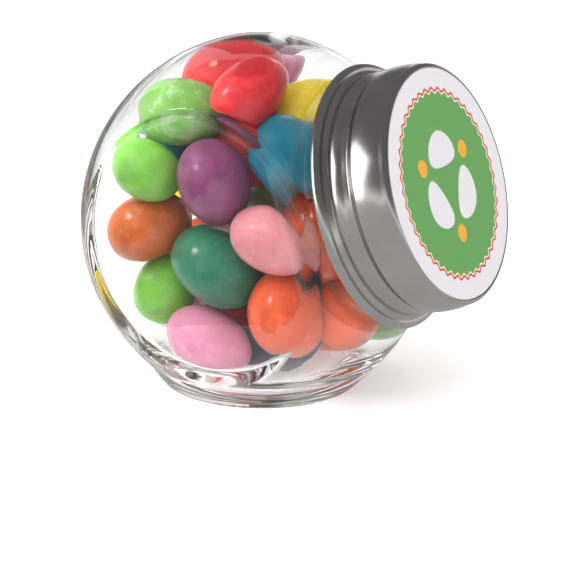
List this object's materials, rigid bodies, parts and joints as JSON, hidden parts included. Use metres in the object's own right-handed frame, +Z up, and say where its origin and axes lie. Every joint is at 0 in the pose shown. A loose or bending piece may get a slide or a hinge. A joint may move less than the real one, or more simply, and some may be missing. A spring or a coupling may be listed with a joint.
{
  "type": "jar of jelly beans",
  "caption": "Small round glass sweet jar with flat side windows, a slanted neck and a twist-off tin lid with a round label, filled with mixed jelly beans.",
  "frame": {"origin": "middle of the jar's flat foot", "axes": "+Z up from the foot, +X towards the leaning neck and lid, +Y through the jar's two flat windows"},
  "size_m": [0.0721, 0.045, 0.0609],
  "materials": {
    "glass": "clear, smooth, thick below",
    "tin": "bright tinplate, lightly brushed round",
    "label": "smooth printed paper, satin",
    "sweets": "polished sugar shell in mixed colours"
  },
  "bodies": {
    "root": {"glass_jar": "glass", "lid": "tin", "lid_label": "label", "jelly_beans": "sweets"}
  },
  "joints": []
}
